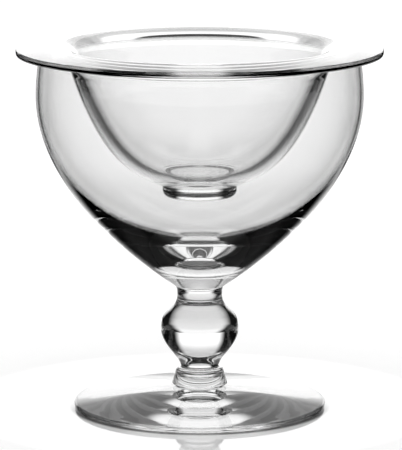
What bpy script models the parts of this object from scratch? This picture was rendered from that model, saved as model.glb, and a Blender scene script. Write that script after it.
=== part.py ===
"""Seafood cocktail glass in two parts: a stemmed icer bowl and the liner that hangs in it.

Everything is turned clear crystal, in metres, +Z up, with the origin on the table under the middle
of the foot. Profiles are lists of (radius, height) that run from the axis at the top, down the
outer side, to the axis at the bottom.
"""

import math

import bpy

OBJECT_NAME = "seafood_cocktail_glass"
TURN_STEPS = 48
AXIS_MERGE = 0.00001

# Spans that a curve is drawn with, by the length of the curve
SHORT_SPANS = 3
ROUND_SPANS = 6
STEM_SPANS = 9
WALL_SPANS = 14

# Clear, colourless, fire-polished lead glass
GLASS_TINT = (0.96, 0.97, 0.97, 1)
GLASS_ROUGHNESS = 0.02
GLASS_METALLIC = 0
GLASS_IOR = 1.52

# Gaps between neighbouring pieces
JOIN_GAP = 0.0003  # between gathers that are joined hot
SEAT_GAP = 0.0003  # between the bowl's rim and the flange that lies on it

# Foot: a thin disc that rises as a cone to the collar, a little hollow underneath
FOOT_RADIUS = 0.0439
FOOT_EDGE_THICKNESS = 0.0021
FOOT_CROWN = 0.005
FOOT_HOLLOW = 0.00032
FOOT_REST_WIDTH = 0.0045

# Collar: the button that joins the stem to the foot
COLLAR_HEIGHT = 0.00645
COLLAR_RADIUS = 0.0097
COLLAR_EDGE_HEIGHT = 0.00075
COLLAR_SHOULDER_RADIUS = 0.0086
COLLAR_SHOULDER_DROP = 0.0023
COLLAR_SEAT_RADIUS = 0.0078

# Stem: a short neck over a ball that tapers down to a second, slimmer neck
STEM_HEIGHT = 0.0286
STEM_TOP_RADIUS = 0.0086
NECK_RADIUS = 0.0079
NECK_DROP = 0.0027
BALL_RADIUS = 0.0136
BALL_HEIGHT = 0.0135
STEM_END_RADIUS = 0.0066

# Bowl: thin at the rim, with a heavy conical bottom
BOWL_HEIGHT = 0.0812
RIM_RADIUS = 0.0558
RIM_WALL = 0.0011
BELLY_SWELL = 0.0009
BELLY_DROP = 0.01435
BOWL_BOTTOM = 0.0116
BOWL_BASE_ANGLE = math.radians(34)

# Liner: a flange that falls outwards, bent broadly into a thick cup with a small pad under it
FLANGE_OVERHANG = 0.0077
FLANGE_THICKNESS = 0.00208
FLANGE_TOP_FALL = math.radians(4.17)
FLANGE_UNDER_FALL = math.radians(1.95)
FLANGE_EDGE_ROUND = 0.00037
LIP_REACH = 0.00552
LIP_DROP = 0.01076
UNDER_LIP_REACH = 0.00792
UNDER_LIP_DROP = 0.00632
LINER_TOP_WALL = 0.00283
LINER_SIDE_WALL = 0.00404
LINER_HEEL_WALL = 0.00416
LINER_FLOOR = 0.0037
LINER_LEAN = math.radians(17)
LINER_HEEL_ANGLE = math.radians(19.2)
LINER_HEEL_RADIUS = 0.0151
LINER_HEEL_RISE = 0.00096
ICE_MOUTH = 0.00824
ICE_DEPTH = 0.01845
PAD_RADIUS = 0.0130
PAD_HEIGHT = 0.0044
PAD_ROUND = 0.0028

# How far each Bezier handle reaches, as a share of the stretch it shapes
NECK_PULL = 0.6
BALL_TOP_PULL = 0.65
BALL_UNDER_PULL = 0.42
STEM_END_PULL = 0.25
RIM_PULL = 0.4
BOWL_SIDE_PULL = 0.45
BOWL_BASE_PULL = 0.36
HOLLOW_SIDE_PULL = 0.508
HOLLOW_FLOOR_PULL = 0.509
LIP_PULL = 0.72
UNDER_LIP_PULL = 0.61
LINER_TOP_PULL = 0.343
LINER_HEEL_PULL = 0.349
LINER_FLOOR_PULL = 0.4
LINER_FLOOR_EDGE_PULL = 0.3

# Heights at which the pieces stand on each other
FOOT_TOP = FOOT_EDGE_THICKNESS + FOOT_CROWN
COLLAR_BASE = FOOT_TOP + JOIN_GAP
STEM_BASE = COLLAR_BASE + COLLAR_HEIGHT + JOIN_GAP
BOWL_BASE = STEM_BASE + STEM_HEIGHT + JOIN_GAP
LINER_SEAT = BOWL_BASE + BOWL_HEIGHT + SEAT_GAP

# The liner hangs in the bowl, so its cup is the bowl's hollow less the space for ice
RIM_INNER_RADIUS = RIM_RADIUS - RIM_WALL
LINER_DROP = BOWL_HEIGHT - BOWL_BOTTOM + SEAT_GAP - ICE_DEPTH
LINER_TOP_RADIUS = RIM_INNER_RADIUS - ICE_MOUTH
PAD_TOP = PAD_HEIGHT - LINER_DROP
CUP_BASE = PAD_TOP + JOIN_GAP

# The flange's underside lies on the middle of the rim, at the liner's own height 0
FLANGE_RADIUS = RIM_RADIUS + FLANGE_OVERHANG
FLANGE_EDGE_BASE = (RIM_RADIUS - RIM_WALL / 2 - FLANGE_RADIUS) * math.tan(FLANGE_UNDER_FALL)


def bezier(start, start_handle, end_handle, end, spans):
    """Points of a cubic Bezier curve, both ends included."""
    points = []
    for i in range(spans + 1):
        t = i / spans
        s = 1 - t
        weights = (s**3, 3 * s * s * t, 3 * s * t * t, t**3)
        corners = (start, start_handle, end_handle, end)
        points.append(tuple(sum(w * c[k] for w, c in zip(weights, corners)) for k in (0, 1)))
    return points


def arc(centre, radius, start_degrees, end_degrees, spans):
    """Points of a circular arc, angles measured from the outward radius."""
    points = []
    for i in range(spans + 1):
        angle = math.radians(start_degrees + (end_degrees - start_degrees) * i / spans)
        points.append((centre[0] + radius * math.cos(angle), centre[1] + radius * math.sin(angle)))
    return points


def chained(*stretches):
    """One profile out of several stretches, without repeated points."""
    points = []
    for stretch in stretches:
        for point in stretch:
            if not points or math.dist(point, points[-1]) > AXIS_MERGE:
                points.append(point)
    return points


def foot_profile():
    edge_round = FOOT_EDGE_THICKNESS / 2
    edge_radius = FOOT_RADIUS - edge_round
    rest_radius = edge_radius - FOOT_REST_WIDTH
    edge = arc((edge_radius, edge_round), edge_round, 90, -90, ROUND_SPANS)
    hollow = bezier(
        (rest_radius, 0),
        (rest_radius * 2 / 3, FOOT_HOLLOW),
        (rest_radius / 3, FOOT_HOLLOW),
        (0, FOOT_HOLLOW),
        ROUND_SPANS,
    )
    return chained([(0, FOOT_TOP), (COLLAR_SEAT_RADIUS, FOOT_TOP)], edge, hollow)


def collar_profile():
    shoulder = COLLAR_HEIGHT - COLLAR_SHOULDER_DROP
    rounding = bezier(
        (STEM_END_RADIUS, COLLAR_HEIGHT),
        (COLLAR_SHOULDER_RADIUS, COLLAR_HEIGHT),
        (COLLAR_SHOULDER_RADIUS, shoulder),
        (COLLAR_SHOULDER_RADIUS, shoulder),
        ROUND_SPANS,
    )
    tuck = bezier(
        (COLLAR_RADIUS, COLLAR_EDGE_HEIGHT),
        (COLLAR_RADIUS, COLLAR_EDGE_HEIGHT / 2),
        (COLLAR_SEAT_RADIUS, COLLAR_EDGE_HEIGHT / 2),
        (COLLAR_SEAT_RADIUS, 0),
        ROUND_SPANS,
    )
    return chained([(0, COLLAR_HEIGHT)], rounding, tuck, [(0, 0)])


def stem_profile():
    neck_height = STEM_HEIGHT - NECK_DROP
    over_ball = neck_height - BALL_HEIGHT
    flare = bezier(
        (STEM_TOP_RADIUS, STEM_HEIGHT),
        (NECK_RADIUS, STEM_HEIGHT - NECK_DROP / 3),
        (NECK_RADIUS, neck_height + NECK_DROP / 3),
        (NECK_RADIUS, neck_height),
        SHORT_SPANS,
    )
    shoulder = bezier(
        (NECK_RADIUS, neck_height),
        (NECK_RADIUS, neck_height - over_ball * NECK_PULL),
        (BALL_RADIUS, BALL_HEIGHT + over_ball * BALL_TOP_PULL),
        (BALL_RADIUS, BALL_HEIGHT),
        STEM_SPANS,
    )
    taper = bezier(
        (BALL_RADIUS, BALL_HEIGHT),
        (BALL_RADIUS, BALL_HEIGHT * (1 - BALL_UNDER_PULL)),
        (STEM_END_RADIUS, BALL_HEIGHT * STEM_END_PULL),
        (STEM_END_RADIUS, 0),
        STEM_SPANS,
    )
    return chained([(0, STEM_HEIGHT)], flare, shoulder, taper, [(0, 0)])


def bowl_profile():
    belly_radius = RIM_RADIUS + BELLY_SWELL
    belly_height = BOWL_HEIGHT - BELLY_DROP
    rim_round = RIM_WALL / 2
    rim_height = BOWL_HEIGHT - rim_round
    rim_drop = (rim_height - belly_height) * RIM_PULL
    base_reach = (belly_radius - STEM_TOP_RADIUS) / math.cos(BOWL_BASE_ANGLE) * BOWL_BASE_PULL
    base_handle = (
        STEM_TOP_RADIUS + base_reach * math.cos(BOWL_BASE_ANGLE),
        base_reach * math.sin(BOWL_BASE_ANGLE),
    )
    hollow_radius = belly_radius - RIM_WALL
    hollow_depth = belly_height - BOWL_BOTTOM
    hollow = bezier(
        (0, BOWL_BOTTOM),
        (hollow_radius * HOLLOW_FLOOR_PULL, BOWL_BOTTOM),
        (hollow_radius, belly_height - hollow_depth * HOLLOW_SIDE_PULL),
        (hollow_radius, belly_height),
        WALL_SPANS,
    )
    mouth = bezier(
        (hollow_radius, belly_height),
        (hollow_radius, belly_height + rim_drop),
        (RIM_INNER_RADIUS, rim_height - rim_drop / 2),
        (RIM_INNER_RADIUS, rim_height),
        SHORT_SPANS,
    )
    lip = arc((RIM_RADIUS - rim_round, rim_height), rim_round, 180, 0, ROUND_SPANS)
    side = bezier(
        (RIM_RADIUS, rim_height),
        (RIM_RADIUS, rim_height - rim_drop / 2),
        (belly_radius, belly_height + rim_drop),
        (belly_radius, belly_height),
        SHORT_SPANS,
    )
    base = bezier(
        (belly_radius, belly_height),
        (belly_radius, belly_height * (1 - BOWL_SIDE_PULL)),
        base_handle,
        (STEM_TOP_RADIUS, 0),
        WALL_SPANS,
    )
    return chained(hollow, mouth, lip, side, base, [(0, 0)])


def bend(corner, start, end, pull, spans):
    """Points of a curve between two lines that meet in a corner, drawn towards that corner."""
    handles = [tuple(a + (c - a) * pull for a, c in zip(point, corner)) for point in (start, end)]
    return bezier(start, *handles, end, spans)


def crossing(point, toward, level, fall):
    """Where the line through two points meets a line of this height on the axis and this fall."""
    slope = (toward[0] - point[0]) / (toward[1] - point[1])
    height = (level - (point[0] - point[1] * slope) * fall) / (1 + slope * fall)
    return point[0] + (height - point[1]) * slope, height


def below(wall, height):
    """The part of a wall under this height, from a point put in at the height itself."""
    first = next(i for i, point in enumerate(wall) if i and point[1] < height)
    (radius, over), (next_radius, under) = wall[first - 1 : first + 1]
    share = (height - over) / (under - over)
    return [(radius + (next_radius - radius) * share, height), *wall[first:]]


def cup_outside():
    """The liner's outer wall, from the flange's underside in to the heel."""
    top = (LINER_TOP_RADIUS, FLANGE_EDGE_BASE)
    heel = (LINER_HEEL_RADIUS, CUP_BASE + LINER_HEEL_RISE)
    top_reach = math.dist(top, heel) * LINER_TOP_PULL
    heel_reach = math.dist(top, heel) * LINER_HEEL_PULL
    return bezier(
        top,
        (top[0] - top_reach * math.sin(LINER_LEAN), top[1] - top_reach * math.cos(LINER_LEAN)),
        (
            heel[0] + heel_reach * math.cos(LINER_HEEL_ANGLE),
            heel[1] + heel_reach * math.sin(LINER_HEEL_ANGLE),
        ),
        heel,
        WALL_SPANS,
    )


def cup_inside(outside):
    """The outer wall moved inwards by the wall, which is thicker towards the heel."""
    points = []
    last = len(outside) - 1
    for i, (radius, height) in enumerate(outside):
        before = outside[max(i - 1, 0)]
        after = outside[min(i + 1, last)]
        along = (after[0] - before[0], after[1] - before[1])
        length = math.hypot(*along)
        t = i / last
        wall = LINER_TOP_WALL * (1 - t) ** 2
        wall += 2 * LINER_SIDE_WALL * t * (1 - t) + LINER_HEEL_WALL * t**2
        points.append((radius + along[1] / length * wall, height - along[0] / length * wall))
    return points


def cup_floor(edge):
    """The cup's inner bottom, from the axis out to the foot of its inner wall."""
    radius, height = edge
    middle = CUP_BASE + LINER_FLOOR
    edge_reach = radius * LINER_FLOOR_EDGE_PULL
    return bezier(
        (0, middle),
        (radius * LINER_FLOOR_PULL, middle),
        (radius - edge_reach, height - edge_reach * math.tan(LINER_HEEL_ANGLE)),
        edge,
        SHORT_SPANS,
    )


def flange_edge():
    """The flange's blunt outer edge, half an oval, from its top to its underside."""
    centre = FLANGE_RADIUS - FLANGE_EDGE_ROUND
    top = FLANGE_EDGE_BASE + FLANGE_THICKNESS + FLANGE_EDGE_ROUND * math.tan(FLANGE_TOP_FALL)
    base = FLANGE_EDGE_BASE + FLANGE_EDGE_ROUND * math.tan(FLANGE_UNDER_FALL)
    half = (top - base) / 2
    circle = arc((0, 0), 1, 90, -90, ROUND_SPANS)
    return [(centre + FLANGE_EDGE_ROUND * x, base + half + half * z) for x, z in circle]


def liner_profile():
    top_fall = math.tan(FLANGE_TOP_FALL)
    under_fall = math.tan(FLANGE_UNDER_FALL)
    top_level = FLANGE_EDGE_BASE + FLANGE_THICKNESS + FLANGE_RADIUS * top_fall
    under_level = FLANGE_EDGE_BASE + FLANGE_RADIUS * under_fall
    outside = cup_outside()
    inside = cup_inside(outside)
    lip_corner = crossing(inside[0], inside[1], top_level, top_fall)
    under_corner = crossing(outside[0], outside[1], under_level, under_fall)
    inner_wall = below(inside, lip_corner[1] - LIP_DROP)
    outer_wall = below(outside, under_corner[1] - UNDER_LIP_DROP)
    lip_radius = lip_corner[0] + LIP_REACH
    lip_end = (lip_radius, top_level - lip_radius * top_fall)
    under_radius = under_corner[0] + UNDER_LIP_REACH
    under_start = (under_radius, under_level - under_radius * under_fall)
    lip = bend(lip_corner, inner_wall[0], lip_end, LIP_PULL, ROUND_SPANS)
    under_lip = bend(under_corner, under_start, outer_wall[0], UNDER_LIP_PULL, ROUND_SPANS)
    heel = bezier(
        outside[-1],
        (PAD_RADIUS, CUP_BASE + LINER_HEEL_RISE),
        (PAD_RADIUS, CUP_BASE + LINER_HEEL_RISE / 2),
        (PAD_RADIUS, CUP_BASE),
        SHORT_SPANS,
    )
    walls = (inner_wall[::-1], lip, flange_edge(), under_lip, outer_wall)
    return chained(cup_floor(inside[-1]), *walls, heel, [(0, CUP_BASE)])


def pad_profile():
    round_height = PAD_TOP - PAD_HEIGHT + PAD_ROUND
    edge = arc((PAD_RADIUS - PAD_ROUND, round_height), PAD_ROUND, 0, -90, ROUND_SPANS)
    return chained([(0, PAD_TOP), (PAD_RADIUS, PAD_TOP)], edge, [(0, PAD_TOP - PAD_HEIGHT)])


def clear_scene():
    for existing in list(bpy.data.objects):
        bpy.data.objects.remove(existing, do_unlink=True)


def crystal(name):
    material = bpy.data.materials.new(name)
    material.use_nodes = True
    shader = material.node_tree.nodes["Principled BSDF"]
    shader.inputs["Base Color"].default_value = GLASS_TINT
    shader.inputs["Roughness"].default_value = GLASS_ROUGHNESS
    shader.inputs["Metallic"].default_value = GLASS_METALLIC
    shader.inputs["IOR"].default_value = GLASS_IOR
    shader.inputs["Transmission Weight"].default_value = 1
    return material


def empty(name, height, collection, parent=None):
    holder = bpy.data.objects.new(name, None)
    holder.location.z = height
    holder.parent = parent
    collection.objects.link(holder)
    return holder


def turned(name, profile, height, parent, collection):
    """A profile turned round the vertical axis, standing at this height in its parent's frame."""
    mesh = bpy.data.meshes.new(name)
    points = [(radius, 0, z) for radius, z in profile]
    mesh.from_pydata(points, [(i, i + 1) for i in range(len(points) - 1)], [])
    mesh.materials.append(crystal(name + "_crystal"))
    piece = bpy.data.objects.new(name, mesh)
    piece.location.z = height
    piece.parent = parent
    collection.objects.link(piece)
    screw = piece.modifiers.new("turn", "SCREW")
    screw.axis = "Z"
    screw.angle = math.tau
    screw.steps = TURN_STEPS
    screw.render_steps = TURN_STEPS
    screw.use_merge_vertices = True
    screw.merge_threshold = AXIS_MERGE
    screw.use_smooth_shade = True
    return piece


def main():
    clear_scene()
    glass = bpy.data.collections.new(OBJECT_NAME)
    bpy.context.scene.collection.children.link(glass)

    icer = empty("icer_origin", 0, glass)
    turned("foot", foot_profile(), 0, icer, glass)
    turned("foot_collar", collar_profile(), COLLAR_BASE, icer, glass)
    turned("ball_stem", stem_profile(), STEM_BASE, icer, glass)
    turned("icer_bowl", bowl_profile(), BOWL_BASE, icer, glass)

    # The liner lifts straight up out of the bowl, along this empty's own Z
    liner = empty("liner_lift_axis", LINER_SEAT, glass, icer)
    turned("liner_bowl", liner_profile(), 0, liner, glass)
    turned("liner_pad", pad_profile(), 0, liner, glass)


main()
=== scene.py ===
"""Looks of the seafood cocktail glass: clear crystal on a pale table, before a bright field."""

import math

import bmesh
import bpy
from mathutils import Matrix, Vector


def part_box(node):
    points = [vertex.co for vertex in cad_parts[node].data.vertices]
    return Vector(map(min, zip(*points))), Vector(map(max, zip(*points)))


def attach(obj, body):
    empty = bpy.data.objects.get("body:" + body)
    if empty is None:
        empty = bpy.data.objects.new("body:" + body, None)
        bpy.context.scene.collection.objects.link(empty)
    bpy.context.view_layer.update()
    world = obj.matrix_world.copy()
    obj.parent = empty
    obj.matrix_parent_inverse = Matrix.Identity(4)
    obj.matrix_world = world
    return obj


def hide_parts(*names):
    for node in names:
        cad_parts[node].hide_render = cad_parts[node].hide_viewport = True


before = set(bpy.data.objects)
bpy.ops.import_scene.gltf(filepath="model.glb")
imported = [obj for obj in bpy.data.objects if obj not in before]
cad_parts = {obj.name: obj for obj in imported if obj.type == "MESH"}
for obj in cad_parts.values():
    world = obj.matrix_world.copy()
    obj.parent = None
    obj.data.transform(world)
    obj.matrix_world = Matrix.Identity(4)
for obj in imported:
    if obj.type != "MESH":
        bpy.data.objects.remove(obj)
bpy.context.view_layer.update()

MM = 0.001
TURN_STEPS = 192
AXIS_MERGE = 0.002 * MM
CRYSTAL_IOR = 1.52

# Spans of the profiles' stretches
FLAT_SPANS = 8
ROUND_SPANS = 12
PAD_SPANS = 14
SHORT_SPANS = 16
FLANGE_SPANS = 20
EDGE_SPANS = 24
STEM_SPANS = 32
BEND_SPANS = 40
BOWL_SPANS = 64
CUP_SPANS = 72

# Heights and radii that the frame gives
FOOT_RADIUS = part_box("foot")[1].x
FOOT_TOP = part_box("foot")[1].z
COLLAR_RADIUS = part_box("foot_collar")[1].x
COLLAR_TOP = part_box("foot_collar")[1].z
BALL_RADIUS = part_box("ball_stem")[1].x
STEM_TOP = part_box("ball_stem")[1].z
BELLY_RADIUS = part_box("icer_bowl")[1].x
BOWL_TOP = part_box("icer_bowl")[1].z
FLANGE_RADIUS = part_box("liner_bowl")[1].x
CUP_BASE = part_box("liner_bowl")[0].z
PAD_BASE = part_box("liner_pad")[0].z
PAD_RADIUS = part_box("liner_pad")[1].x

# Foot and collar
FOOT_EDGE = 2.1 * MM
FOOT_HOLLOW = 0.32 * MM
FOOT_REST_WIDTH = 4.5 * MM
COLLAR_SEAT_RADIUS = 7.8 * MM
COLLAR_EDGE_HEIGHT = 1.05 * MM
COLLAR_SHOULDER_RADIUS = 8.6 * MM
COLLAR_SHOULDER_DROP = 2.3 * MM

# Stem
STEM_END_RADIUS = 6.6 * MM
BALL_RISE = 13.76 * MM
NECK_RADIUS = 7.9 * MM
NECK_DROP = 2.7 * MM
STEM_TOP_RADIUS = 8.6 * MM
NECK_PULL = 0.6
BALL_TOP_PULL = 0.65
BALL_UNDER_PULL = 0.42
STEM_END_PULL = 0.25

# Bowl
RIM_RADIUS = 55.8 * MM
RIM_WALL = 1.1 * MM
BELLY_DROP = 14.35 * MM
BOWL_BOTTOM = 11.9 * MM
BOWL_BASE_ANGLE = math.radians(34)
RIM_PULL = 0.4
BOWL_SIDE_PULL = 0.45
BOWL_BASE_PULL = 0.36
HOLLOW_SIDE_PULL = 0.508
HOLLOW_FLOOR_PULL = 0.509

# Liner: a flange that falls outwards, bent broadly into a thick cup with a pad under it
SEAT_GAP = 0.3 * MM
FLANGE_THICKNESS = 2.08 * MM
FLANGE_TOP_FALL = math.radians(4.17)
FLANGE_UNDER_FALL = math.radians(1.95)
FLANGE_EDGE_ROUND = 0.37 * MM
LIP_REACH = 5.52 * MM
LIP_DROP = 10.76 * MM
LIP_PULL = 0.72
UNDER_LIP_REACH = 7.92 * MM
UNDER_LIP_DROP = 6.32 * MM
UNDER_LIP_PULL = 0.61
LINER_TOP_RADIUS = 46.46 * MM
LINER_TOP_WALL = 2.83 * MM
LINER_SIDE_WALL = 4.04 * MM
LINER_HEEL_WALL = 4.16 * MM
LINER_FLOOR = 3.7 * MM
LINER_LEAN = math.radians(17)
LINER_HEEL_ANGLE = math.radians(19.2)
LINER_HEEL_RADIUS = 15.1 * MM
LINER_HEEL_RISE = 0.96 * MM
LINER_TOP_PULL = 0.343
LINER_HEEL_PULL = 0.349
LINER_FLOOR_PULL = 0.4
LINER_FLOOR_EDGE_PULL = 0.3
PAD_TOP_DROP = 0.3 * MM
PAD_ROUND = 2.8 * MM

# Height of the flange's outer edge, from where its underside lies on the bowl's rim
FLANGE_EDGE_BASE = (
    BOWL_TOP + SEAT_GAP - (FLANGE_RADIUS - RIM_RADIUS + RIM_WALL / 2) * math.tan(FLANGE_UNDER_FALL)
)

# Camera, from the ellipses of the flange and the foot in the photograph
FRAME_HEIGHT_PX = 450
SENSOR = 36
FOCAL_PX = 3632.2
CAMERA_DISTANCE = 1243.3 * MM
CAMERA_HEIGHT = 292.1 * MM
CAMERA_PITCH = math.radians(10.393)
CAMERA_BEARING = math.radians(225)
AXIS_OFF_CENTRE_PX = -1.3
AWAY = Vector((-math.sin(CAMERA_BEARING), math.cos(CAMERA_BEARING), 0))
RIGHT = Vector((AWAY.y, -AWAY.x, 0))

# Table: white and matt, polished round the foot; distances run from the axis or straight away
TABLE_RADIUS = 6
TABLE_SIDES = 96
TABLE_DROP = 0.05 * MM
TABLE_WHITE = 0.9
TABLE_ROUGHNESS = 0.04
TABLE_POLISH = 0.5
POLISH_RADIUS = 60 * MM
MATT_RADIUS = 85 * MM
CAMERA_LIFT = 0.2
# Painted shadow: a dark ring on the table's colour at the foot's front edge, for camera rays
CONTACT_RING = (44.2 * MM, 46.4 * MM)
CONTACT_FRONT = (-20 * MM, 5 * MM)
CONTACT_LEVEL = 0.12

# Table through the glass, with painted light and shade: white in a wedge that opens backwards,
# dark beside it, pale under the foot but for a strip under the stem
TABLE_NEAR_LEVEL = 0.92
TABLE_FAR_LEVEL = 1.06
TABLE_FAR_START = 200 * MM
TABLE_FAR_END = 420 * MM
TABLE_SIDE_LEVEL = 0.01
WEDGE_TIP = 12 * MM
WEDGE_SPREAD = 0.55
WEDGE_FAR_HALF = 37 * MM
WEDGE_FAR_SPREAD = 0.33
WEDGE_LEAST = 14 * MM
WEDGE_SOFT_START = 0.7
WEDGE_SOFT_NEAR = 1.8
WEDGE_SOFT_FAR = 1.35
WEDGE_SHARPENS = (120 * MM, 185 * MM)
TABLE_SIDE_FRONT = (-90 * MM, -60 * MM)
TABLE_FRONT_SHADE = 0.15
UNDER_FOOT_EDGE = (42 * MM, 44 * MM)
UNDER_FOOT_LEVEL = 0.4
UNDER_FOOT_FRONT = (-28 * MM, -10 * MM)
UNDER_FOOT_FRONT_LEVEL = 0.9
UNDER_FOOT_LIFT = 0.35
STEM_SHADOW = (10 * MM, 18 * MM)

# Table in reflections: painted dark before the glass, and painted brighter far behind it
MIRRORED_SOFT_START = 0.2
MIRRORED_SOFT_NEAR = 2.1
MIRRORED_SOFT_FAR = 0.75
MIRRORED_SHARPENS = (200 * MM, 350 * MM)
MIRRORED_FRONT = (30 * MM, 45 * MM)
MIRRORED_LIFT = 0.6
MIRRORED_LIFT_START = (90 * MM, 150 * MM)

# Surroundings as the glass shows them, by degrees above the table and away from straight behind
SKY_LEVEL = 1.25
SKY_START = 8
SKY_END = 28
SKY_HIGH_LEVEL = 0.67
GLARE = 1.8
GLARE_START = 12.5
GLARE_END = 17
PANEL_LOW = 42
PANEL_SOFT = 3
PANEL_LEVEL = 0.5
ROOF_START = 57
ROOF_END = 60
ROOF_SHARE = 0.05
FIELD_EDGE = 20
PANEL_EDGE = 48
EDGE_SOFT = 12
FRONT_START = 95
FRONT_END = 110
HORIZON_LEVEL = 0.85
HORIZON_START = 4
HORIZON_END = 8
SHADE_LEVEL = 0.004

# Light bounces, enough for rays that run inside the walls
GLASS_BOUNCES = 32
MIRROR_BOUNCES = 16


def bezier(start, start_handle, end_handle, end, spans):
    """Points of a cubic Bezier curve, both ends included."""
    points = []
    for i in range(spans + 1):
        t = i / spans
        s = 1 - t
        weights = (s**3, 3 * s * s * t, 3 * s * t * t, t**3)
        corners = (start, start_handle, end_handle, end)
        points.append(tuple(sum(w * c[k] for w, c in zip(weights, corners)) for k in (0, 1)))
    return points


def arc(centre, radius, start_degrees, end_degrees, spans):
    points = []
    for i in range(spans + 1):
        angle = math.radians(start_degrees + (end_degrees - start_degrees) * i / spans)
        points.append((centre[0] + radius * math.cos(angle), centre[1] + radius * math.sin(angle)))
    return points


def straight(start, end, spans):
    """Points of a straight stretch, in steps that keep its shading straight."""
    return [tuple(a + (b - a) * i / spans for a, b in zip(start, end)) for i in range(spans + 1)]


def chained(*stretches):
    points = []
    for stretch in stretches:
        for point in stretch:
            if not points or math.dist(point, points[-1]) > AXIS_MERGE:
                points.append(point)
    return points


def bend(corner, start, end, pull, spans):
    """Points of a curve between two lines that meet in a corner, drawn towards that corner."""
    handles = [tuple(a + (c - a) * pull for a, c in zip(point, corner)) for point in (start, end)]
    return bezier(start, *handles, end, spans)


def crossing(point, toward, level, fall):
    """Where the line through two points meets a line of this height on the axis and this fall."""
    slope = (toward[0] - point[0]) / (toward[1] - point[1])
    height = (level - (point[0] - point[1] * slope) * fall) / (1 + slope * fall)
    return point[0] + (height - point[1]) * slope, height


def below(wall, height):
    """The part of a wall under this height, from a point put in at the height itself."""
    first = next(i for i, point in enumerate(wall) if i and point[1] < height)
    (radius, over), (next_radius, under) = wall[first - 1 : first + 1]
    share = (height - over) / (under - over)
    return [(radius + (next_radius - radius) * share, height), *wall[first:]]


def bowl_stretches():
    belly_height = BOWL_TOP - BELLY_DROP
    rim_round = RIM_WALL / 2
    rim_height = BOWL_TOP - rim_round
    rim_inner = RIM_RADIUS - RIM_WALL
    rim_drop = (rim_height - belly_height) * RIM_PULL
    reach = (BELLY_RADIUS - STEM_TOP_RADIUS) / math.cos(BOWL_BASE_ANGLE) * BOWL_BASE_PULL
    base_handle = (
        STEM_TOP_RADIUS + reach * math.cos(BOWL_BASE_ANGLE),
        STEM_TOP + reach * math.sin(BOWL_BASE_ANGLE),
    )
    hollow_radius = BELLY_RADIUS - RIM_WALL
    floor = STEM_TOP + BOWL_BOTTOM
    hollow = bezier(
        (0, floor),
        (hollow_radius * HOLLOW_FLOOR_PULL, floor),
        (hollow_radius, belly_height - (belly_height - floor) * HOLLOW_SIDE_PULL),
        (hollow_radius, belly_height),
        BOWL_SPANS,
    )
    mouth = bezier(
        (hollow_radius, belly_height),
        (hollow_radius, belly_height + rim_drop),
        (rim_inner, rim_height - rim_drop / 2),
        (rim_inner, rim_height),
        SHORT_SPANS,
    )
    lip = arc((RIM_RADIUS - rim_round, rim_height), rim_round, 180, 0, ROUND_SPANS)
    side = bezier(
        (RIM_RADIUS, rim_height),
        (RIM_RADIUS, rim_height - rim_drop / 2),
        (BELLY_RADIUS, belly_height + rim_drop),
        (BELLY_RADIUS, belly_height),
        SHORT_SPANS,
    )
    outer = bezier(
        (BELLY_RADIUS, belly_height),
        (BELLY_RADIUS, belly_height - (belly_height - STEM_TOP) * BOWL_SIDE_PULL),
        base_handle,
        (STEM_TOP_RADIUS, STEM_TOP),
        BOWL_SPANS,
    )
    return hollow, mouth, lip, side, outer


def stem_stretches():
    neck_height = STEM_TOP - NECK_DROP
    ball_height = COLLAR_TOP + BALL_RISE
    over_ball = neck_height - ball_height
    flare = bezier(
        (STEM_TOP_RADIUS, STEM_TOP),
        (NECK_RADIUS, STEM_TOP - NECK_DROP / 3),
        (NECK_RADIUS, neck_height + NECK_DROP / 3),
        (NECK_RADIUS, neck_height),
        ROUND_SPANS,
    )
    shoulder = bezier(
        (NECK_RADIUS, neck_height),
        (NECK_RADIUS, neck_height - over_ball * NECK_PULL),
        (BALL_RADIUS, ball_height + over_ball * BALL_TOP_PULL),
        (BALL_RADIUS, ball_height),
        STEM_SPANS,
    )
    taper = bezier(
        (BALL_RADIUS, ball_height),
        (BALL_RADIUS, ball_height - BALL_RISE * BALL_UNDER_PULL),
        (STEM_END_RADIUS, COLLAR_TOP + BALL_RISE * STEM_END_PULL),
        (STEM_END_RADIUS, COLLAR_TOP),
        STEM_SPANS,
    )
    return flare, shoulder, taper


def foot_stretches():
    shoulder = COLLAR_TOP - COLLAR_SHOULDER_DROP
    edge_height = FOOT_TOP + COLLAR_EDGE_HEIGHT
    rounding = bezier(
        (STEM_END_RADIUS, COLLAR_TOP),
        (COLLAR_SHOULDER_RADIUS, COLLAR_TOP),
        (COLLAR_SHOULDER_RADIUS, shoulder),
        (COLLAR_SHOULDER_RADIUS, shoulder),
        SHORT_SPANS,
    )
    tuck = bezier(
        (COLLAR_RADIUS, edge_height),
        (COLLAR_RADIUS, edge_height - COLLAR_EDGE_HEIGHT / 2),
        (COLLAR_SEAT_RADIUS, edge_height - COLLAR_EDGE_HEIGHT / 2),
        (COLLAR_SEAT_RADIUS, FOOT_TOP),
        SHORT_SPANS,
    )
    edge_round = FOOT_EDGE / 2
    edge_radius = FOOT_RADIUS - edge_round
    rest_radius = edge_radius - FOOT_REST_WIDTH
    side = straight(rounding[-1], tuck[0], FLAT_SPANS)
    top = straight(tuck[-1], (edge_radius, FOOT_EDGE), BEND_SPANS)
    edge = arc((edge_radius, edge_round), edge_round, 90, -90, SHORT_SPANS)
    rest = straight(edge[-1], (rest_radius, 0), FLAT_SPANS)
    under = bezier(
        (rest_radius, 0),
        (rest_radius * 2 / 3, FOOT_HOLLOW),
        (rest_radius / 3, FOOT_HOLLOW),
        (0, FOOT_HOLLOW),
        STEM_SPANS,
    )
    return rounding, side, tuck, top, edge, rest, under


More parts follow.
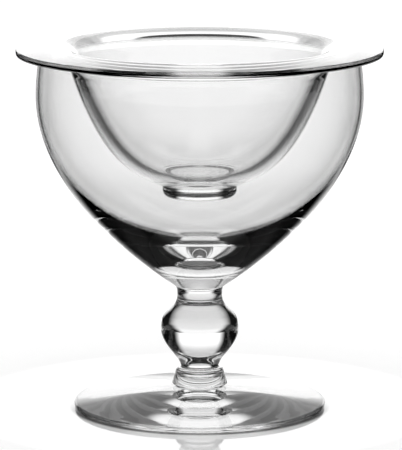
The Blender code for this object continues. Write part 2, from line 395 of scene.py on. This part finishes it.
def cup_outside():
    """The liner's outer wall, from the flange's underside in to the heel."""
    top = (LINER_TOP_RADIUS, FLANGE_EDGE_BASE)
    heel = (LINER_HEEL_RADIUS, CUP_BASE + LINER_HEEL_RISE)
    top_reach = math.dist(top, heel) * LINER_TOP_PULL
    heel_reach = math.dist(top, heel) * LINER_HEEL_PULL
    return bezier(
        top,
        (top[0] - top_reach * math.sin(LINER_LEAN), top[1] - top_reach * math.cos(LINER_LEAN)),
        (
            heel[0] + heel_reach * math.cos(LINER_HEEL_ANGLE),
            heel[1] + heel_reach * math.sin(LINER_HEEL_ANGLE),
        ),
        heel,
        CUP_SPANS,
    )


def cup_inside(outside):
    """The outer wall moved inwards by the wall, which is thicker towards the heel."""
    points = []
    last = len(outside) - 1
    for i, (radius, height) in enumerate(outside):
        before = outside[max(i - 1, 0)]
        after = outside[min(i + 1, last)]
        along = (after[0] - before[0], after[1] - before[1])
        length = math.hypot(*along)
        t = i / last
        wall = LINER_TOP_WALL * (1 - t) ** 2
        wall += 2 * LINER_SIDE_WALL * t * (1 - t) + LINER_HEEL_WALL * t**2
        points.append((radius + along[1] / length * wall, height - along[0] / length * wall))
    return points


def cup_floor(edge):
    """The cup's inner bottom, from the axis out to the foot of its inner wall."""
    radius, height = edge
    middle = CUP_BASE + LINER_FLOOR
    edge_reach = radius * LINER_FLOOR_EDGE_PULL
    return bezier(
        (0, middle),
        (radius * LINER_FLOOR_PULL, middle),
        (radius - edge_reach, height - edge_reach * math.tan(LINER_HEEL_ANGLE)),
        edge,
        EDGE_SPANS,
    )


def flange_edge():
    """The flange's blunt outer edge, half an oval, from its top to its underside."""
    depth = FLANGE_RADIUS - FLANGE_EDGE_ROUND
    top = FLANGE_EDGE_BASE + FLANGE_THICKNESS + FLANGE_EDGE_ROUND * math.tan(FLANGE_TOP_FALL)
    base = FLANGE_EDGE_BASE + FLANGE_EDGE_ROUND * math.tan(FLANGE_UNDER_FALL)
    half = (top - base) / 2
    circle = arc((0, 0), 1, 90, -90, EDGE_SPANS)
    return [(depth + FLANGE_EDGE_ROUND * x, base + half + half * z) for x, z in circle]


def liner_stretches():
    top_fall = math.tan(FLANGE_TOP_FALL)
    under_fall = math.tan(FLANGE_UNDER_FALL)
    top_level = FLANGE_EDGE_BASE + FLANGE_THICKNESS + FLANGE_RADIUS * top_fall
    under_level = FLANGE_EDGE_BASE + FLANGE_RADIUS * under_fall
    outside = cup_outside()
    inside = cup_inside(outside)
    lip_corner = crossing(inside[0], inside[2], top_level, top_fall)
    under_corner = crossing(outside[0], outside[2], under_level, under_fall)
    inner_wall = below(inside, lip_corner[1] - LIP_DROP)
    outer_wall = below(outside, under_corner[1] - UNDER_LIP_DROP)
    lip_end = lip_corner[0] + LIP_REACH
    under_end = under_corner[0] + UNDER_LIP_REACH
    lip = bend(
        lip_corner,
        inner_wall[0],
        (lip_end, top_level - lip_end * top_fall),
        LIP_PULL,
        BEND_SPANS,
    )
    under_lip = bend(
        under_corner,
        (under_end, under_level - under_end * under_fall),
        outer_wall[0],
        UNDER_LIP_PULL,
        BEND_SPANS,
    )
    heel = bezier(
        outside[-1],
        (PAD_RADIUS, CUP_BASE + LINER_HEEL_RISE),
        (PAD_RADIUS, CUP_BASE + LINER_HEEL_RISE / 2),
        (PAD_RADIUS, CUP_BASE - PAD_TOP_DROP),
        ROUND_SPANS,
    )
    pad = arc((PAD_RADIUS - PAD_ROUND, PAD_BASE + PAD_ROUND), PAD_ROUND, 0, -90, PAD_SPANS)
    floor = cup_floor(inside[-1])
    edge = flange_edge()
    top = straight(lip[-1], edge[0], FLANGE_SPANS)
    underside = straight(edge[-1], under_lip[0], SHORT_SPANS)
    base = straight(pad[-1], (0, PAD_BASE), ROUND_SPANS)
    cup = (floor, inner_wall[::-1], lip, top, edge, underside, under_lip, outer_wall)
    return *cup, heel, pad, base


def turned(name, profile):
    """A closed body, turned about the vertical axis; its profile ends down the outer side."""
    shape = bmesh.new()
    ring = [shape.verts.new((radius, 0, height)) for radius, height in profile]
    edges = [shape.edges.new(pair) for pair in zip(ring, ring[1:])]
    bmesh.ops.spin(
        shape,
        geom=ring + edges,
        axis=(0, 0, 1),
        cent=(0, 0, 0),
        angle=math.tau,
        steps=TURN_STEPS,
        use_merge=True,
    )
    bmesh.ops.remove_doubles(shape, verts=shape.verts, dist=AXIS_MERGE)
    bmesh.ops.recalc_face_normals(shape, faces=shape.faces)
    mesh = bpy.data.meshes.new(name)
    shape.to_mesh(mesh)
    shape.free()
    mesh.shade_smooth()
    piece = bpy.data.objects.new(name, mesh)
    bpy.context.scene.collection.objects.link(piece)
    return piece


def crystal(name):
    material = bpy.data.materials.new(name)
    material.use_nodes = True
    shader = material.node_tree.nodes["Principled BSDF"]
    shader.inputs["Base Color"].default_value = (1, 1, 1, 1)
    shader.inputs["Roughness"].default_value = 0
    shader.inputs["IOR"].default_value = CRYSTAL_IOR
    shader.inputs["Transmission Weight"].default_value = 1
    return material


def make_glass():
    icer = turned("icer_glass", chained(*bowl_stretches(), *stem_stretches(), *foot_stretches()))
    icer.data.materials.append(crystal("icer_crystal_look"))
    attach(icer, "icer")
    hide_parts("foot", "foot_collar", "ball_stem", "icer_bowl")
    liner = turned("liner_glass", chained(*liner_stretches()))
    liner.data.materials.append(crystal("liner_crystal_look"))
    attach(liner, "liner")
    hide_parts("liner_bowl", "liner_pad")


def make_camera():
    camera = bpy.data.objects.new("camera", bpy.data.cameras.new("camera"))
    camera.data.sensor_width = SENSOR
    camera.data.lens = FOCAL_PX / FRAME_HEIGHT_PX * SENSOR
    camera.data.shift_x = -AXIS_OFF_CENTRE_PX / FRAME_HEIGHT_PX
    camera.location = AWAY * -CAMERA_DISTANCE + Vector((0, 0, CAMERA_HEIGHT))
    camera.rotation_euler = (math.pi / 2 - CAMERA_PITCH, 0, CAMERA_BEARING)
    bpy.context.scene.collection.objects.link(camera)
    bpy.context.scene.camera = camera


def value_node(tree, kind, *inputs, **settings):
    """A node whose inputs are filled in order with numbers or linked from other nodes' outputs."""
    node = tree.nodes.new(kind)
    for key, setting in settings.items():
        setattr(node, key, setting)
    sockets = [socket for socket in node.inputs if socket.enabled]
    for socket, filling in zip(sockets, inputs):
        if isinstance(filling, bpy.types.NodeSocket):
            tree.links.new(filling, socket)
        else:
            socket.default_value = filling
    return node


def math_node(tree, operation, *inputs):
    return value_node(tree, "ShaderNodeMath", *inputs, operation=operation).outputs[0]


def product(tree, first, *others):
    for other in others:
        first = math_node(tree, "MULTIPLY", first, other)
    return first


def ramp(tree, driver, start, end, low=0, high=1):
    """A smooth step of a value from one level to another."""
    node = value_node(
        tree, "ShaderNodeMapRange", driver, start, end, low, high, interpolation_type="SMOOTHSTEP"
    )
    return node.outputs[0]


def mixed(tree, share, first, second):
    """first where share is 0, second where it is 1."""
    kept = math_node(tree, "SUBTRACT", 1, share)
    return math_node(tree, "ADD", product(tree, first, kept), product(tree, second, share))


def mirrored(tree, path):
    """1 for rays that left a polished surface without going through it."""
    outside = math_node(tree, "SUBTRACT", 1, path["Is Transmission Ray"])
    return product(tree, path["Is Glossy Ray"], outside)


def along(tree, way, axis):
    """How far a vector reaches along an axis."""
    node = value_node(tree, "ShaderNodeVectorMath", way, axis, operation="DOT_PRODUCT")
    return node.outputs["Value"]


def make_world():
    world = bpy.data.worlds.new("studio")
    world.use_nodes = True
    tree = world.node_tree
    way = tree.nodes.new("ShaderNodeTexCoord").outputs["Generated"]
    path = tree.nodes.new("ShaderNodeLightPath").outputs
    across = math_node(tree, "ABSOLUTE", along(tree, way, RIGHT))
    bearing = math_node(tree, "ARCTAN2", across, along(tree, way, AWAY))
    elevation = math_node(tree, "ARCSINE", along(tree, way, Vector((0, 0, 1))))

    def degrees_ramp(driver, start, end, low=0, high=1):
        return ramp(tree, driver, math.radians(start), math.radians(end), low, high)

    sky = degrees_ramp(elevation, SKY_START, SKY_END, SKY_LEVEL, SKY_HIGH_LEVEL)
    glare = degrees_ramp(elevation, GLARE_START, GLARE_END, GLARE, 1)
    sky = product(tree, sky, mixed(tree, mirrored(tree, path), 1, glare))
    panel = degrees_ramp(elevation, PANEL_LOW, PANEL_LOW + PANEL_SOFT, 0, PANEL_LEVEL)
    roof = degrees_ramp(elevation, ROOF_START, ROOF_END, 1, ROOF_SHARE)
    behind = product(tree, math_node(tree, "ADD", sky, panel), roof)
    edge = degrees_ramp(
        elevation,
        PANEL_LOW - PANEL_SOFT,
        PANEL_LOW,
        math.radians(FIELD_EDGE),
        math.radians(PANEL_EDGE),
    )
    aside = degrees_ramp(math_node(tree, "SUBTRACT", bearing, edge), 0, EDGE_SOFT)
    horizon = degrees_ramp(elevation, HORIZON_START, HORIZON_END, HORIZON_LEVEL, SHADE_LEVEL)
    ahead = mixed(tree, degrees_ramp(bearing, FRONT_START, FRONT_END), SHADE_LEVEL, horizon)
    seen = mixed(tree, aside, behind, ahead)
    plain = math_node(tree, "MAXIMUM", path["Is Camera Ray"], path["Is Diffuse Ray"])
    level = mixed(tree, plain, seen, 1)
    background = tree.nodes["Background"]
    background.inputs["Color"].default_value = (1, 1, 1, 1)
    tree.links.new(level, background.inputs["Strength"])
    bpy.context.scene.world = world


def table_material():
    """White and matt, polished round the foot, and topped up to the white of the background;
    painted shade and painted light shape the table as the glass and reflections see it, and a
    painted shadow lies at the foot's front edge.
    """
    material = bpy.data.materials.new("table_white")
    material.use_nodes = True
    tree = material.node_tree
    shader = tree.nodes["Principled BSDF"]
    place = tree.nodes.new("ShaderNodeTexCoord").outputs["Object"]
    path = tree.nodes.new("ShaderNodeLightPath").outputs
    across = math_node(tree, "ABSOLUTE", along(tree, place, RIGHT))
    away = along(tree, place, AWAY)
    reach = value_node(tree, "ShaderNodeVectorMath", place, operation="LENGTH").outputs["Value"]
    camera = path["Is Camera Ray"]
    through = path["Is Transmission Ray"]
    mirror = mirrored(tree, path)

    # Across the wedge, 1 is its edge
    near = product(tree, math_node(tree, "SUBTRACT", away, WEDGE_TIP), WEDGE_SPREAD)
    far = math_node(tree, "ADD", product(tree, away, WEDGE_FAR_SPREAD), WEDGE_FAR_HALF)
    half_width = math_node(tree, "MAXIMUM", math_node(tree, "MINIMUM", near, far), WEDGE_LEAST)
    outside = math_node(tree, "DIVIDE", across, half_width)

    # Painted shade in reflections: the table is dark beside the wedge and before the glass
    soft_end = ramp(tree, away, *MIRRORED_SHARPENS, MIRRORED_SOFT_NEAR, MIRRORED_SOFT_FAR)
    beside = ramp(tree, outside, MIRRORED_SOFT_START, soft_end)
    before = ramp(tree, away, *MIRRORED_FRONT, 1, 0)
    mirror_shade = product(tree, math_node(tree, "MAXIMUM", beside, before), mirror)

    # Painted light through the glass: the table is painted pale under the foot too, but not in a
    # strip under the stem, where its shadow is left
    under = ramp(tree, reach, *UNDER_FOOT_EDGE, 1, 0)
    under = product(tree, under, ramp(tree, across, *STEM_SHADOW))
    front = ramp(tree, away, *UNDER_FOOT_FRONT, 1, 0)
    front_lift = product(tree, under, front, UNDER_FOOT_LIFT)
    under_level = mixed(tree, front, UNDER_FOOT_LEVEL, UNDER_FOOT_FRONT_LEVEL)
    under = product(tree, under, under_level)
    # Painted shade through the glass: the table darkens beside the wedge, less so far before the
    # glass, and not where it is painted pale under the foot
    soft_end = ramp(tree, away, *WEDGE_SHARPENS, WEDGE_SOFT_NEAR, WEDGE_SOFT_FAR)
    shade = ramp(tree, outside, WEDGE_SOFT_START, soft_end)
    side_share = ramp(tree, away, *TABLE_SIDE_FRONT, TABLE_FRONT_SHADE, 1)
    shade = product(tree, shade, side_share, math_node(tree, "SUBTRACT", 1, under), through)
    lit = mixed(tree, mirror_shade, mixed(tree, shade, 1, TABLE_SIDE_LEVEL), 0)

    # Painted shadow: the table's colour darkens in a ring where the foot's front edge stands on
    # it, for camera rays
    contact = ramp(tree, reach, *CONTACT_RING, CONTACT_LEVEL, 1)
    contact = mixed(tree, ramp(tree, away, *CONTACT_FRONT), contact, 1)
    pale = product(tree, mixed(tree, camera, 1, contact), TABLE_WHITE)
    tree.links.new(product(tree, lit, pale), shader.inputs["Base Color"])

    polish = ramp(tree, reach, POLISH_RADIUS, MATT_RADIUS, TABLE_POLISH, 0)
    tree.links.new(polish, shader.inputs["Specular IOR Level"])
    shader.inputs["Roughness"].default_value = TABLE_ROUGHNESS

    # What tops the white up, for each kind of ray: for camera rays a glow beyond the polished
    # patch; through the glass and in reflections painted light, a glow that brightens the table
    # far behind and under the foot's front
    level = ramp(tree, reach, TABLE_FAR_START, TABLE_FAR_END, TABLE_NEAR_LEVEL, TABLE_FAR_LEVEL)
    lift = product(tree, math_node(tree, "SUBTRACT", level, TABLE_WHITE), lit)
    to_glass = product(tree, math_node(tree, "ADD", lift, front_lift), through)
    camera_lift = ramp(tree, reach, POLISH_RADIUS, MATT_RADIUS, 0, CAMERA_LIFT)
    to_camera = product(tree, camera, camera_lift)
    glare = ramp(tree, away, *MIRRORED_LIFT_START, 0, MIRRORED_LIFT)
    to_mirror = product(tree, glare, lit, mirror)
    strength = math_node(tree, "ADD", to_camera, math_node(tree, "ADD", to_glass, to_mirror))
    shader.inputs["Emission Color"].default_value = (1, 1, 1, 1)
    tree.links.new(strength, shader.inputs["Emission Strength"])
    return material


def make_table():
    mesh = bpy.data.meshes.new("table")
    shape = bmesh.new()
    bmesh.ops.create_circle(shape, cap_ends=True, segments=TABLE_SIDES, radius=TABLE_RADIUS)
    shape.to_mesh(mesh)
    shape.free()
    mesh.materials.append(table_material())
    table = bpy.data.objects.new("table", mesh)
    table.location.z = -TABLE_DROP
    bpy.context.scene.collection.objects.link(table)


make_camera()
make_glass()
make_table()
make_world()
bpy.context.scene.view_settings.view_transform = "Standard"
bpy.context.scene.cycles.max_bounces = GLASS_BOUNCES
bpy.context.scene.cycles.transmission_bounces = GLASS_BOUNCES
bpy.context.scene.cycles.glossy_bounces = MIRROR_BOUNCES
